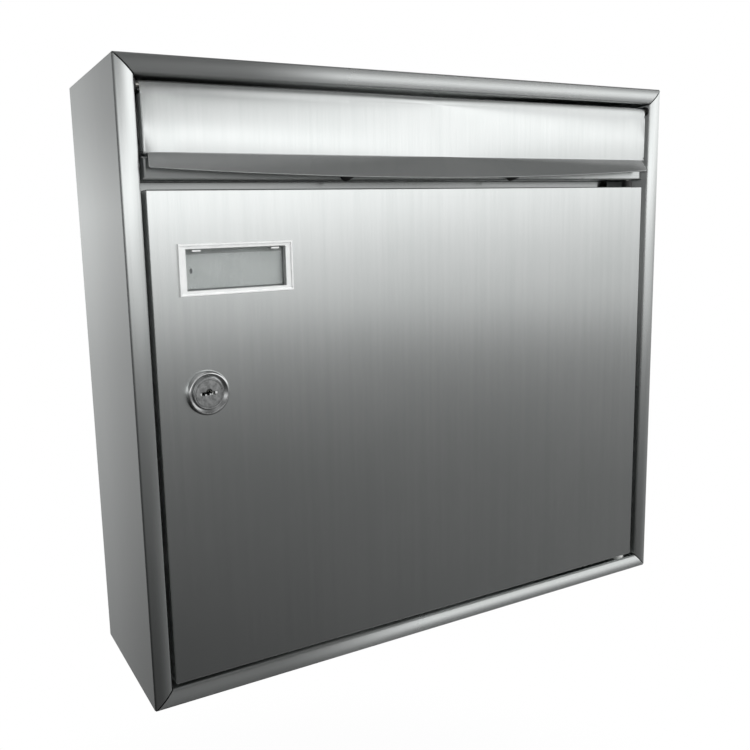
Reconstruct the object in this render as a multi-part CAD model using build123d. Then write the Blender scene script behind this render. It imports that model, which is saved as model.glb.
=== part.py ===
"""Wall mounted mailbox: folded stainless casing with a letter flap, a lockable door and a name plate.

Millimetres. X to the right as seen from the front, +Y into the wall, +Z up.
The origin is the centre of the four wall screw holes, on the plane of the wall.
"""
import math
import os

from build123d import *

os.makedirs("parts", exist_ok=True)

# ---------------------------------------------------------------- driving sizes
# Casing: four folded walls, mitred where they meet
casing_width = 370.0
casing_height = 336.0
casing_depth = 100.0        # wall to the edges of the front frame
casing_sheet = 1.0
frame_face = 10.0           # width of the front frame
frame_crown = 1.3           # how far the frame's face bulges forward
frame_bend = 1.5            # outer radius between wall and frame
frame_return = 17.5         # depth of the turn back inside the opening
return_bend = 1.0
frame_hem = 5.0             # hem behind the return, turned outwards
rear_flange = 14.0
rear_bend = 2.5
mitre_gap = 0.3

# Back panel and its wall screws
back_sheet = 1.0
back_edge_gap = 0.3
back_corner = 4.0
wall_hole_spacing_x = 300.0
wall_hole_spacing_z = 250.0
wall_hole_radius = 3.5
wall_pad_radius = 9.0       # pads pressed out round the holes to meet the wall
wall_pad_wall = 1.0

# Cross rail between letter slot and door
rail_sheet = 1.0
rail_drop = 49.0            # top of the frame opening to the underside of the rail
rail_height = 11.5
rail_recess = 3.0           # rail front behind the casing front
rail_bend = 1.0
rail_side_gap = 3.2
rail_end_flange = 5.0
rail_top_depth = 17.0
door_stop_drop = 12.0       # stop flange below the rail
door_stop_overlap = 5.0     # stop flange behind the stile hems

# Rivets that hold the rail to the stile hems
rivet_radius = 1.5
rivet_head_radius = 2.2
rivet_head_height = 1.0
rivet_head_rim = 0.4
rivet_bulb_radius = 1.9
rivet_bulb_length = 1.4
rivet_inset = 3.0           # from the frame opening to the rivet
rivet_drops = (3.5, 9.0)    # below the rail underside

# Letter flap
flap_sheet = 0.8
flap_side_gap = 2.7
flap_top_gap = 1.9
flap_rail_gap = 1.4         # bend above the lip to the top of the rail
flap_recess = 0.9           # curl front behind the casing front
flap_flare = 1.5            # bend in front of the curl
flap_lead_angle = 3.0       # the concave face leaves the curl this far from upright
flap_bend = 1.0
flap_side_flange = 6.5
flap_side_margin = 1.2
lip_lean = 30.0
lip_drop_end = 7.3
lip_drop_middle = 12.2
lip_inset = 2.1
lip_corner = 2.0
curl_end_angle = 260.0

# Flap rod, its bushes and caps
rod_radius = 1.5
rod_curl_gap = 0.05
rod_end_gap = 4.5           # rod end to the casing wall
bush_wall = 0.6
bush_flange_radius = 3.0
bush_flange_thickness = 0.8
bush_snap = 0.6
cap_radius = 2.9
cap_thickness = 0.8
cap_inset = 0.5
running_gap = 0.05          # radial clearance of every pin in its bush

# Rubber buffers
flap_buffer_radius = 4.0
flap_buffer_tip_radius = 3.0
flap_buffer_spacing = 117.0
flap_buffer_drop = 0.6      # buffer below the rail underside
door_buffer_radius = 3.4
door_buffer_tip_radius = 2.8
door_buffer_drop = 5.2
door_buffer_places = (-118.0, 62.0)
buffer_stem_radius = 1.6
buffer_barb_radius = 2.2
buffer_barb_length = 1.6
buffer_tip_chamfer = 0.5
rest_gap = 0.3              # between a closed flap or door and its buffer

# Door
door_sheet = 1.0
door_recess = 1.0
door_depth = 12.0
door_lip = 7.0
door_lock_gap = 2.7
door_hinge_gap = 3.5
door_top_gap = 4.65
door_bottom_gap = 1.5
door_edge_round = 1.2
door_corner_round = 1.5

# Door hinge
hinge_inset_x = 8.0
hinge_inset_y = 6.0
pin_radius = 1.5
pin_head_radius = 2.6
pin_head_height = 1.0
pin_reach = 5.5             # pin beyond the door's flange
door_bush_wall = 1.0
door_bush_barrel = 3.0
upper_shoulder_radius = 3.2
upper_shoulder_gap = 0.3
lower_shoulder_radius = 5.0
thrust_gap = 0.1

# Name plate
plate_from_edge = 46.0      # plate centre from the door's lock side edge
plate_below_top = 40.1
plate_width = 64.0
plate_height = 26.6
plate_flange = 1.0
plate_ridge = 0.6
plate_ridge_width = 1.2
plate_body_width = 56.6
plate_body_height = 22.2
plate_body_gap = 0.2
plate_recess_wall = 1.0
plate_pane_set = 1.0        # pane front behind the door face
plate_pane = 1.2
plate_tab_length = 4.4
plate_tab_height = 0.8
plate_tab_spacing = 44.0
card_margin = 0.8
card_thickness = 0.3
holder_border = 2.8
holder_floor = 1.5

# Lock
lock_from_edge = 26.3       # lock axis from the door's lock side edge
lock_height = 0.5
lock_head_radius = 11.8
lock_head_rim = 0.8
lock_head_proud = 3.0
lock_face_radius = 8.7
lock_barrel_radius = 9.0
lock_flat_width = 16.0
lock_hole_gap = 0.1
cam_gap = 0.5               # cam behind the stile hem
cam_barrel_gap = 0.3
core_radius = 6.0
core_head_radius = 7.65
core_head_length = 1.6
core_set_back = 0.2
core_tail_width = 7.0
core_tail_trim = 0.1
keyway_length = 8.4
keyway_height = 2.2
keyway_depth = 15.0
wafer_count = 5
wafer_thickness = 0.9
wafer_pitch = 2.3
wafer_first = 4.2           # first wafer behind the core's face
wafer_height = 6.0
wafer_slot_gap = 0.05
wafer_trim = 0.05
wafer_window_height = 3.0
wafer_window_length = 7.0
wafer_stagger = 0.5
ear_length = 1.3
ear_height = 1.7
spring_radius = 0.65
spring_wire = 0.15
spring_turns = 4
spring_pocket = 3.2
nut_across_flats = 24.0
nut_thickness = 4.0
nut_thread_gap = 0.03
washer_radius = 12.0
washer_thickness = 0.8
cam_thickness = 2.0
cam_width = 12.0
cam_length = 33.0
cam_hole_gap = 0.05
cam_washer_radius = 4.5
cam_washer_thickness = 0.8
screw_radius = 2.0
screw_length = 7.0
screw_head_radius = 3.5
screw_head_height = 2.4
screw_head_round = 0.8
screw_slot_width = 0.9
screw_slot_depth = 1.0

cut_over = 1.0              # how far a cutting shape runs past the faces it cuts

# ---------------------------------------------------------------- places worked out from them
half_width = casing_width / 2
half_height = casing_height / 2
front = -casing_depth                              # y of the casing's front edges
opening_x = half_width - frame_face
opening_z = half_height - frame_face
hem_rear = front + frame_return                    # y of the rear face of the hems

rail_level = opening_z - rail_drop                 # underside of the rail
rail_front = front + rail_recess
rail_top = rail_level + rail_height
rail_end = opening_x - rail_side_gap
stop_front = hem_rear
stop_rear = stop_front + rail_sheet
stop_bottom = rail_level - door_stop_drop

curl_radius = rod_radius + rod_curl_gap + flap_sheet
flap_half = opening_x - flap_side_gap
flap_top = opening_z - flap_top_gap
flap_axis_y = front + flap_recess + curl_radius
flap_axis_z = flap_top - curl_radius
flap_bend_y = front + flap_recess - flap_flare     # outer face at the bend
flap_bend_z = rail_top + flap_rail_gap
bush_radius = rod_radius + running_gap + bush_wall

door_front = front + door_recess
door_rear = door_front + door_depth
door_left = -opening_x + door_lock_gap
door_right = opening_x - door_hinge_gap
door_top = rail_level - door_top_gap
door_bottom = -opening_z + door_bottom_gap
door_back_face = door_front + door_sheet           # rear face of the door's sheet
hinge_x = door_right - hinge_inset_x
hinge_y = door_front + hinge_inset_y
door_bush_radius = pin_radius + running_gap + door_bush_wall

plate_x = door_left + plate_from_edge
plate_z = door_top - plate_below_top
pane_front = door_front + plate_pane_set
pane_rear = pane_front + plate_pane
card_rear = pane_rear + card_thickness

lock_x = door_left + lock_from_edge
lock_face = door_front - lock_head_proud
cam_front = hem_rear + cam_gap
barrel_rear = cam_front - cam_barrel_gap
core_face = lock_face + core_set_back
core_head_rear = core_face + core_head_length
cam_rear = cam_front + cam_thickness


# ---------------------------------------------------------------- helpers
def past(low, high):
    """A range a little longer at both ends, for a shape that cuts right through."""
    return (low - cut_over, high + cut_over)


def block(x_range, y_range, z_range):
    """Box between two corners, given as (low, high) along each axis."""
    size = [high - low for low, high in (x_range, y_range, z_range)]
    middle = [(high + low) / 2 for low, high in (x_range, y_range, z_range)]
    return Pos(*middle) * Box(*size)


def round_x(radius, x_range, y, z):
    """Cylinder along X."""
    length = x_range[1] - x_range[0]
    return Pos((x_range[0] + x_range[1]) / 2, y, z) * Rot(0, 90, 0) * Cylinder(radius, length)


def round_y(radius, y_range, x, z):
    """Cylinder along Y."""
    length = y_range[1] - y_range[0]
    return Pos(x, (y_range[0] + y_range[1]) / 2, z) * Rot(90, 0, 0) * Cylinder(radius, length)


def round_z(radius, z_range, x, y):
    """Cylinder along Z."""
    length = z_range[1] - z_range[0]
    return Pos(x, y, (z_range[0] + z_range[1]) / 2) * Cylinder(radius, length)


def turned_y(outline, x, z):
    """Solid turned about an axis along Y, from (radius, y) points."""
    section = make_face(Polyline(*outline, close=True))
    return Pos(x, 0, z) * revolve(section, Axis.Y)


def sheet_section(edges, bends, thickness):
    """Section of a folded sheet: its middle line with a (point, radius) for each bend."""
    line = Wire(edges)
    for point, radius in bends:
        corner = [v for v in line.vertices() if (v.center() - Vector(*point)).length < 1e-3]
        line = line.fillet_2d(radius, corner)
    return trace(line, thickness)


def along_x(section, half_length):
    """Extrude a section drawn as (y, z) both ways along X."""
    return extrude(Plane.YZ * section, half_length, both=True)


def along_y(section, y_range):
    """Extrude a section drawn as (x, z) from one y to another."""
    placed = Plane.XZ.offset(-y_range[0]) * section
    return extrude(placed, -(y_range[1] - y_range[0]))


def buffer_y(head_radius, tip_radius, tip, seat, sheet, x, z):
    """Rubber buffer plugged into a sheet: a tapered head in front, a barb behind."""
    outline = [
        (0, tip),
        (tip_radius - buffer_tip_chamfer, tip),
        (tip_radius, tip + buffer_tip_chamfer),
        (head_radius, seat),
        (buffer_stem_radius, seat),
        (buffer_stem_radius, seat + sheet),
        (buffer_barb_radius, seat + sheet),
        (buffer_stem_radius, seat + sheet + buffer_barb_length),
        (0, seat + sheet + buffer_barb_length),
    ]
    return turned_y(outline, x, z)


def save(name, shape):
    """Write one sub-part."""
    solids = shape.solids()
    whole = solids[0] if len(solids) == 1 else Compound(children=list(solids))
    export_step(whole, f"parts/{name}.step")


# ---------------------------------------------------------------- casing
def wall_section():
    """Section of a casing wall as (distance inwards, distance from the wall of the house)."""
    half = casing_sheet / 2
    flange_end = (rear_flange, half)
    rear_corner = (half, half)
    front_corner = (half, casing_depth - half)
    inner_corner = (frame_face - half, casing_depth - half)
    hem_corner = (frame_face - half, casing_depth - frame_return + half)
    hem_end = (frame_face - frame_hem, casing_depth - frame_return + half)
    crown = (frame_face / 2, casing_depth - half + frame_crown)
    edges = Polyline(flange_end, rear_corner, front_corner).edges()
    edges += ThreePointArc(front_corner, crown, inner_corner).edges()
    edges += Polyline(inner_corner, hem_corner, hem_end).edges()
    bends = [
        (rear_corner, rear_bend - half),
        (front_corner, frame_bend - half),
        (inner_corner, return_bend - half),
        (hem_corner, return_bend - half),
    ]
    return sheet_section(edges, bends, casing_sheet)


def casing_wall(length, quarter_turns, distance):
    """One wall with mitred ends, turned about Y and set out from the middle of the box."""
    wall = extrude(wall_section(), length / 2, both=True)
    reach = max(rear_flange, frame_face) + cut_over
    end = length / 2 - mitre_gap / math.sqrt(2)
    mitre = make_face(Polyline(
        (0, -end), (reach, -end + reach), (reach, end - reach), (0, end), close=True))
    upright = Rot(90, 0, 0) * extrude(mitre, casing_depth + frame_crown + cut_over, both=True)
    wall = Rot(180, 0, 0) * (wall & upright)
    return Rot(0, 90 * quarter_turns, 0) * Pos(-distance, 0, 0) * wall


def flap_bush_hole(side):
    span = sorted((side * (opening_x - cut_over), side * (opening_x + casing_sheet + cut_over)))
    return round_x(bush_radius, span, flap_axis_y, flap_axis_z)


def rivet_places(side):
    return [(side * (opening_x + rivet_inset), rail_level - drop) for drop in rivet_drops]


def casing_side(side):
    """Side wall, with the holes for the flap bush and the rail rivets. side is -1 left, 1 right."""
    wall = casing_wall(casing_height, 0 if side < 0 else 2, half_width)
    wall -= flap_bush_hole(side)
    for x, z in rivet_places(side):
        wall -= round_y(rivet_radius, past(hem_rear - casing_sheet, hem_rear), x, z)
    return wall


def casing_top():
    return casing_wall(casing_width, 1, half_height)


def casing_bottom():
    wall = casing_wall(casing_width, 3, half_height)
    return wall - round_z(pin_radius, past(-opening_z - casing_sheet, -opening_z), hinge_x, hinge_y)


def back_panel():
    """Sheet in front of the rear flanges, pressed out to the wall at its four screw holes."""
    inset = max(rear_bend, casing_sheet) + back_edge_gap
    outline = RectangleRounded(casing_width - 2 * inset, casing_height - 2 * inset, back_corner)
    panel_front = -casing_sheet - back_sheet
    panel = along_y(outline, (panel_front, -casing_sheet))
    for x in (-wall_hole_spacing_x / 2, wall_hole_spacing_x / 2):
        for z in (-wall_hole_spacing_z / 2, wall_hole_spacing_z / 2):
            panel += round_y(wall_pad_radius, (-casing_sheet, 0), x, z)
            panel -= round_y(wall_pad_radius - wall_pad_wall, (panel_front - cut_over, -back_sheet), x, z)
            panel -= round_y(wall_hole_radius, past(panel_front, 0), x, z)
    return panel


# ---------------------------------------------------------------- cross rail
def flap_buffer_spots():
    z = rail_level - flap_buffer_drop + flap_buffer_radius
    return [(x, z) for x in (-flap_buffer_spacing / 2, flap_buffer_spacing / 2)]


def door_buffer_spots():
    return [(x, door_top - door_buffer_drop) for x in door_buffer_places]


def cross_rail():
    """Folded rail: top flange, front band, underside and the stop flange behind the door."""
    half = rail_sheet / 2
    stop_end = (stop_front + half, stop_bottom)
    stop_corner = (stop_front + half, rail_level + half)
    lower_corner = (rail_front + half, rail_level + half)
    upper_corner = (rail_front + half, rail_top - half)
    top_end = (rail_front + rail_top_depth, rail_top - half)
    edges = Polyline(stop_end, stop_corner, lower_corner, upper_corner, top_end).edges()
    bends = [(corner, rail_bend - half) for corner in (stop_corner, lower_corner, upper_corner)]
    rail = along_x(sheet_section(edges, bends, rail_sheet), rail_end)
    stop_half = opening_x + door_stop_overlap
    rail += block((-stop_half, stop_half), (stop_front, stop_rear), (stop_bottom, rail_level - rail_bend))
    for side in (-1, 1):
        flange_x = sorted((side * (rail_end - rail_sheet), side * rail_end))
        rail += block(flange_x, (rail_front + rail_bend, rail_front + rail_end_flange),
                      (rail_level + half, rail_top - half))
        for x, z in rivet_places(side):
            rail -= round_y(rivet_radius, past(stop_front, stop_rear), x, z)
    rail -= round_z(pin_radius, past(rail_level, rail_level + rail_sheet), hinge_x, hinge_y)
    for x, z in flap_buffer_spots():
        rail -= round_y(buffer_stem_radius, past(rail_front, rail_front + rail_sheet), x, z)
    for x, z in door_buffer_spots():
        rail -= round_y(buffer_stem_radius, past(stop_front, stop_rear), x, z)
    return rail


def rail_rivets():
    rivets = []
    bulb_rear = hem_rear - casing_sheet
    for side in (-1, 1):
        for x, z in rivet_places(side):
            outline = [
                (0, stop_rear + rivet_head_height),
                (rivet_radius, stop_rear + rivet_head_height),
                (rivet_head_radius, stop_rear + rivet_head_rim),
                (rivet_head_radius, stop_rear),
                (rivet_radius, stop_rear),
                (rivet_radius, bulb_rear),
                (rivet_bulb_radius, bulb_rear),
                (rivet_bulb_radius, bulb_rear - rivet_bulb_length),
                (0, bulb_rear - rivet_bulb_length),
            ]
            rivets.append(turned_y(outline, x, z))
    return Compound(children=rivets)


def lip_back_y(z):
    """Y of the back of the flap's lip at a height."""
    lean = math.radians(lip_lean)
    return flap_bend_y - (flap_bend_z - z) * math.tan(lean) + flap_sheet / math.cos(lean)


def flap_buffers():
    buffers = []
    for x, z in flap_buffer_spots():
        tip = lip_back_y(z + flap_buffer_tip_radius) + rest_gap
        buffers.append(buffer_y(flap_buffer_radius, flap_buffer_tip_radius, tip, rail_front,
                                rail_sheet, x, z))
    return Compound(children=buffers)


def door_buffers():
    tip = door_rear + rest_gap
    return Compound(children=[
        buffer_y(door_buffer_radius, door_buffer_tip_radius, tip, stop_front, rail_sheet, x, z)
        for x, z in door_buffer_spots()])


# ---------------------------------------------------------------- letter flap
def flap_lines():
    """Middle line of the flap as (y, z): curl, concave face and leaning lip."""
    radius = curl_radius - flap_sheet / 2

    def on_curl(degrees):
        turn = math.radians(degrees)
        return (flap_axis_y - radius * math.cos(turn), flap_axis_z + radius * math.sin(turn))

    lead = math.radians(flap_lead_angle)
    lean = math.radians(lip_lean)
    bend = (flap_bend_y + flap_sheet / 2, flap_bend_z)
    drop = lip_drop_middle + lip_corner
    curl = ThreePointArc(on_curl(curl_end_angle), on_curl(curl_end_angle / 2), on_curl(-flap_lead_angle))
    face = TangentArc(on_curl(-flap_lead_angle), bend, tangent=(math.sin(lead), -math.cos(lead)))
    lip = Line(bend, (bend[0] - drop * math.tan(lean), bend[1] - drop))
    return curl, face, lip, bend


def flap_outline():
    """Front outline of the flap as (x, z): a wide face over a narrower lip with a bowed edge."""
    lip_half = flap_half - lip_inset
    lip_end_z = flap_bend_z - lip_drop_end
    left_end = (-lip_half, lip_end_z)
    right_end = (lip_half, lip_end_z)
    lip_edge = ThreePointArc(left_end, (0, flap_bend_z - lip_drop_middle), right_end)
    lip_rest = Polyline(right_end, (lip_half, flap_top), (-lip_half, flap_top), left_end)
    lip = make_face(lip_edge.edges() + lip_rest.edges())
    corners = [v for v in lip.vertices() if v.Y < flap_bend_z]
    lip = fillet(corners, lip_corner)
    relief = flap_bend_z + flap_bend
    face_height = flap_top + cut_over - relief
    return lip + Pos(0, relief + face_height / 2) * Rectangle(2 * flap_half, face_height)


def flap_panel():
    curl, face, lip, bend = flap_lines()
    edges = curl.edges() + face.edges() + lip.edges()
    section = sheet_section(edges, [(bend, flap_bend - flap_sheet / 2)], flap_sheet)
    panel = along_x(section, flap_half)
    panel &= along_y(flap_outline(), (front - frame_return, 0))
    back = front + flap_recess + flap_side_flange
    start = face @ 0
    behind = face.edges() + Polyline(bend, (back, bend[1]), (back, start.Y), (start.X, start.Y)).edges()
    low = flap_bend_z + flap_bend
    high = flap_axis_z - curl_radius - flap_side_margin
    window = Pos((front + back) / 2, (low + high) / 2) * Rectangle(2 * (back - front), high - low)
    web = Plane.YZ * (make_face(behind) & window)
    for side in (-1, 1):
        panel += extrude(Pos(side * flap_half, 0, 0) * web, -side * flap_sheet, dir=(1, 0, 0))
    return panel


def flap_rod():
    reach = half_width - rod_end_gap
    return round_x(rod_radius, (-reach, reach), flap_axis_y, flap_axis_z)


def flap_bush(side):
    """Nylon bush snapped into the stile's return."""
    flange = sorted((side * (opening_x - bush_flange_thickness), side * opening_x))
    barrel = sorted((side * opening_x, side * (opening_x + casing_sheet + bush_snap)))
    bush = round_x(bush_flange_radius, flange, flap_axis_y, flap_axis_z)
    bush += round_x(bush_radius, barrel, flap_axis_y, flap_axis_z)
    whole = past(min(flange + barrel), max(flange + barrel))
    return bush - round_x(rod_radius + running_gap, whole, flap_axis_y, flap_axis_z)


def rod_caps():
    """Push-on caps that keep the rod in its bushes."""
    outer = half_width - rod_end_gap - cap_inset
    caps = []
    for side in (-1, 1):
        span = sorted((side * (outer - cap_thickness), side * outer))
        cap = round_x(cap_radius, span, flap_axis_y, flap_axis_z)
        caps.append(cap - round_x(rod_radius, past(span[0], span[1]), flap_axis_y, flap_axis_z))
    return Compound(children=caps)


# ---------------------------------------------------------------- door
def door_panel():
    """Shallow tray with a lip all round its back, and its holes."""
    outer = block((door_left, door_right), (door_front, door_rear), (door_bottom, door_top))
    outer = fillet(outer.edges().filter_by(Axis.Y), door_corner_round)
    outer = fillet(outer.faces().sort_by(Axis.Y)[0].edges(), door_edge_round)
    inside_x = (door_left + door_sheet, door_right - door_sheet)
    inside_z = (door_bottom + door_sheet, door_top - door_sheet)
    panel = outer - block(inside_x, (door_back_face, door_rear - door_sheet), inside_z)
    mouth_x = (door_left + door_lip, door_right - door_lip)
    mouth_z = (door_bottom + door_lip, door_top - door_lip)
    panel -= block(mouth_x, (door_back_face, door_rear + cut_over), mouth_z)
    panel -= plate_block(plate_body_width + 2 * plate_body_gap, plate_body_height + 2 * plate_body_gap,
                         past(door_front, door_back_face))
    panel -= barrel_shape(lock_hole_gap, past(door_front, door_back_face))
    panel -= round_z(door_bush_radius, past(door_top - door_sheet, door_top), hinge_x, hinge_y)
    panel -= round_z(door_bush_radius, past(door_bottom, door_bottom + door_sheet), hinge_x, hinge_y)
    return panel


def hinge_pin_upper():
    """Pin through the rail, headed above it."""
    shank = (door_top - door_sheet - pin_reach, rail_level + rail_sheet)
    head = (rail_level + rail_sheet, rail_level + rail_sheet + pin_head_height)
    return round_z(pin_radius, shank, hinge_x, hinge_y) + round_z(pin_head_radius, head, hinge_x, hinge_y)


def hinge_pin_lower():
    """Pin through the bottom return, headed below it."""
    seat = -opening_z - casing_sheet
    shank = (seat, door_bottom + door_sheet + pin_reach)
    head = (seat - pin_head_height, seat)
    return round_z(pin_radius, shank, hinge_x, hinge_y) + round_z(pin_head_radius, head, hinge_x, hinge_y)


def hinge_bush_upper():
    shoulder = (door_top, rail_level - upper_shoulder_gap)
    barrel = (door_top - door_sheet - door_bush_barrel, door_top)
    bush = round_z(upper_shoulder_radius, shoulder, hinge_x, hinge_y)
    bush += round_z(door_bush_radius, barrel, hinge_x, hinge_y)
    return bush - round_z(pin_radius + running_gap, past(barrel[0], shoulder[1]), hinge_x, hinge_y)


def hinge_bush_lower():
    shoulder = (-opening_z + thrust_gap, door_bottom)
    barrel = (door_bottom, door_bottom + door_sheet + door_bush_barrel)
    bush = round_z(lower_shoulder_radius, shoulder, hinge_x, hinge_y)
    bush += round_z(door_bush_radius, barrel, hinge_x, hinge_y)
    return bush - round_z(pin_radius + running_gap, past(shoulder[0], barrel[1]), hinge_x, hinge_y)


# ---------------------------------------------------------------- name plate
def plate_block(width, height, y_range):
    """Box centred on the name plate."""
    return block((plate_x - width / 2, plate_x + width / 2), y_range,
                 (plate_z - height / 2, plate_z + height / 2))


def name_cover():
    """Clear cover: a flange with a raised ridge, a body through the door and a recessed pane."""
    flange_front = door_front - plate_flange
    recess_width = plate_body_width - 2 * plate_recess_wall
    recess_height = plate_body_height - 2 * plate_recess_wall
    cover = plate_block(plate_width, plate_height, (flange_front, door_front))
    ridge = plate_block(plate_width, plate_height, (flange_front - plate_ridge, flange_front))
    ridge -= plate_block(plate_width - 2 * plate_ridge_width, plate_height - 2 * plate_ridge_width,
                         past(flange_front - plate_ridge, flange_front))
    cover += ridge
    cover += plate_block(plate_body_width, plate_body_height, (door_front, pane_rear))
    cover -= plate_block(recess_width, recess_height, (flange_front - cut_over, pane_front))
    for x in (plate_x - plate_tab_spacing / 2, plate_x + plate_tab_spacing / 2):
        top = plate_z + recess_height / 2
        cover += block((x - plate_tab_length / 2, x + plate_tab_length / 2), (flange_front, pane_front),
                       (top - plate_tab_height, top))
    return cover


def name_card():
    return plate_block(plate_body_width - 2 * card_margin, plate_body_height - 2 * card_margin,
                       (pane_rear, card_rear))


def name_holder():
    """Tray behind the door that clips onto the cover and traps the card."""
    pocket_width = plate_body_width + 2 * plate_body_gap
    pocket_height = plate_body_height + 2 * plate_body_gap
    holder = plate_block(pocket_width + 2 * holder_border, pocket_height + 2 * holder_border,
                         (door_back_face, card_rear + holder_floor))
    return holder - plate_block(pocket_width, pocket_height, (door_back_face - cut_over, card_rear))


# ---------------------------------------------------------------- lock
def barrel_shape(growth, y_range):
    """Lock barrel with its two flats."""
    barrel = round_y(lock_barrel_radius + growth, y_range, lock_x, lock_height)
    flat = lock_flat_width / 2 + growth
    reach = lock_barrel_radius + growth + cut_over
    return barrel & block((lock_x - reach, lock_x + reach), y_range, (lock_height - flat, lock_height + flat))


def lock_body():
    """Housing: a bevelled head outside the door and a flatted barrel through it."""
    head = turned_y([
        (0, door_front),
        (lock_head_radius, door_front),
        (lock_head_radius, door_front - lock_head_rim),
        (lock_face_radius, lock_face),
        (0, lock_face),
    ], lock_x, lock_height)
    body = head + barrel_shape(0, (door_front, barrel_rear))
    recess = (lock_face - cut_over, core_head_rear + running_gap)
    body -= round_y(core_head_radius + running_gap, recess, lock_x, lock_height)
    return body - round_y(core_radius + running_gap, past(lock_face, barrel_rear), lock_x, lock_height)


def wafer_planes():
    """Y of the front of each wafer."""
    return [core_face + wafer_first + index * wafer_pitch for index in range(wafer_count)]


def wafer_ear(growth, y):
    """Side ear of a wafer that its spring pushes on."""
    x = lock_x + spring_pocket / 2 - growth
    z = lock_height + wafer_height / 2 - growth
    return block((x, x + ear_length + 2 * growth), (y - growth, y + wafer_thickness + growth),
                 (z, z + ear_height + 2 * growth))


def lock_core():
    """Plug with a level keyway, a slot for each wafer, a pocket for each spring and a square tail."""
    core = round_y(core_head_radius, (core_face, core_head_rear), lock_x, lock_height)
    core += round_y(core_radius, (core_head_rear, cam_front), lock_x, lock_height)
    half_tail = core_tail_width / 2
    core += block((lock_x - half_tail, lock_x + half_tail), (cam_front, cam_rear - core_tail_trim),
                  (lock_height - half_tail, lock_height + half_tail))
    core -= block((lock_x - keyway_length / 2, lock_x + keyway_length / 2),
                  (core_face - cut_over, core_face + keyway_depth),
                  (lock_height - keyway_height / 2, lock_height + keyway_height / 2))
    for y in wafer_planes():
        half = wafer_height / 2 + wafer_slot_gap
        core -= block((lock_x - core_head_radius, lock_x + core_head_radius),
                      (y - wafer_slot_gap, y + wafer_thickness + wafer_slot_gap),
                      (lock_height - half, lock_height + half))
        core -= wafer_ear(wafer_slot_gap, y)
        core -= spring_hole(y)
    return core - round_y(screw_radius, past(cam_rear - screw_length, cam_rear), lock_x, lock_height)


def spring_level():
    return lock_height + wafer_height / 2 + ear_height / 2


def spring_hole(y):
    """Pocket beside a wafer for its spring."""
    bore = spring_radius + spring_wire + wafer_slot_gap
    return round_x(bore, (lock_x - spring_pocket / 2, lock_x + spring_pocket / 2),
                   y + wafer_thickness / 2, spring_level())


def wafers():
    """Brass wafers at the shear line, each with its window set a little to one side."""
    plates = []
    for index, y in enumerate(wafer_planes()):
        disc = round_y(core_radius - wafer_trim, (y, y + wafer_thickness), lock_x, lock_height)
        half = wafer_height / 2
        plate = disc & block((lock_x - core_radius, lock_x + core_radius), past(y, y + wafer_thickness),
                             (lock_height - half, lock_height + half))
        plate += wafer_ear(0, y) & disc
        shift = wafer_stagger * (index % 3 - 1)
        plate -= block((lock_x + shift - wafer_window_length / 2, lock_x + shift + wafer_window_length / 2),
                       past(y, y + wafer_thickness),
                       (lock_height - wafer_window_height / 2, lock_height + wafer_window_height / 2))
        plates.append(plate)
    return Compound(children=plates)


def wafer_springs():
    """One small coil spring between each wafer's ear and the end of its pocket."""
    length = spring_pocket - 2 * spring_wire - 2 * wafer_slot_gap
    coil = Helix(length / spring_turns, length, spring_radius)
    wire = sweep(Plane(coil @ 0, z_dir=coil % 0) * Circle(spring_wire), coil)
    springs = []
    for y in wafer_planes():
        place = Pos(lock_x - length / 2, y + wafer_thickness / 2, spring_level())
        springs.append(place * Rot(0, 90, 0) * wire)
    return Compound(children=springs)


def lock_washer():
    ring = round_y(washer_radius, (door_back_face, door_back_face + washer_thickness), lock_x, lock_height)
    return ring - round_y(lock_barrel_radius + nut_thread_gap, (door_front, barrel_rear), lock_x, lock_height)


def lock_nut():
    start = door_back_face + washer_thickness
    hexagon = Pos(lock_x, lock_height) * RegularPolygon(nut_across_flats / 2, 6, major_radius=False)
    nut = along_y(hexagon, (start, start + nut_thickness))
    return nut - round_y(lock_barrel_radius + nut_thread_gap, (door_front, barrel_rear), lock_x, lock_height)


def cam():
    """Locking cam, hanging down when unlocked."""
    half = cam_width / 2
    span = (cam_front, cam_rear)
    tip = lock_height - cam_length
    arm = block((lock_x - half, lock_x + half), span, (tip, lock_height))
    arm = fillet(arm.edges().filter_by(Axis.Y).group_by(Axis.Z)[0], half / 2)
    arm += round_y(half, span, lock_x, lock_height)
    hole = core_tail_width / 2 + cam_hole_gap
    return arm - block((lock_x - hole, lock_x + hole), past(cam_front, cam_rear),
                       (lock_height - hole, lock_height + hole))


def cam_washer():
    span = (cam_rear, cam_rear + cam_washer_thickness)
    ring = round_y(cam_washer_radius, span, lock_x, lock_height)
    return ring - round_y(screw_radius, past(span[0], span[1]), lock_x, lock_height)


def cam_screw():
    seat = cam_rear + cam_washer_thickness
    end = seat + screw_head_height
    screw = round_y(screw_radius, (seat - screw_length, seat), lock_x, lock_height)
    head = round_y(screw_head_radius, (seat, end), lock_x, lock_height)
    head = fillet(head.faces().sort_by(Axis.Y)[-1].edges(), screw_head_round)
    slot = block(past(lock_x - screw_head_radius, lock_x + screw_head_radius),
                 (end - screw_slot_depth, end + cut_over),
                 (lock_height - screw_slot_width / 2, lock_height + screw_slot_width / 2))
    return screw + head - slot


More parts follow.
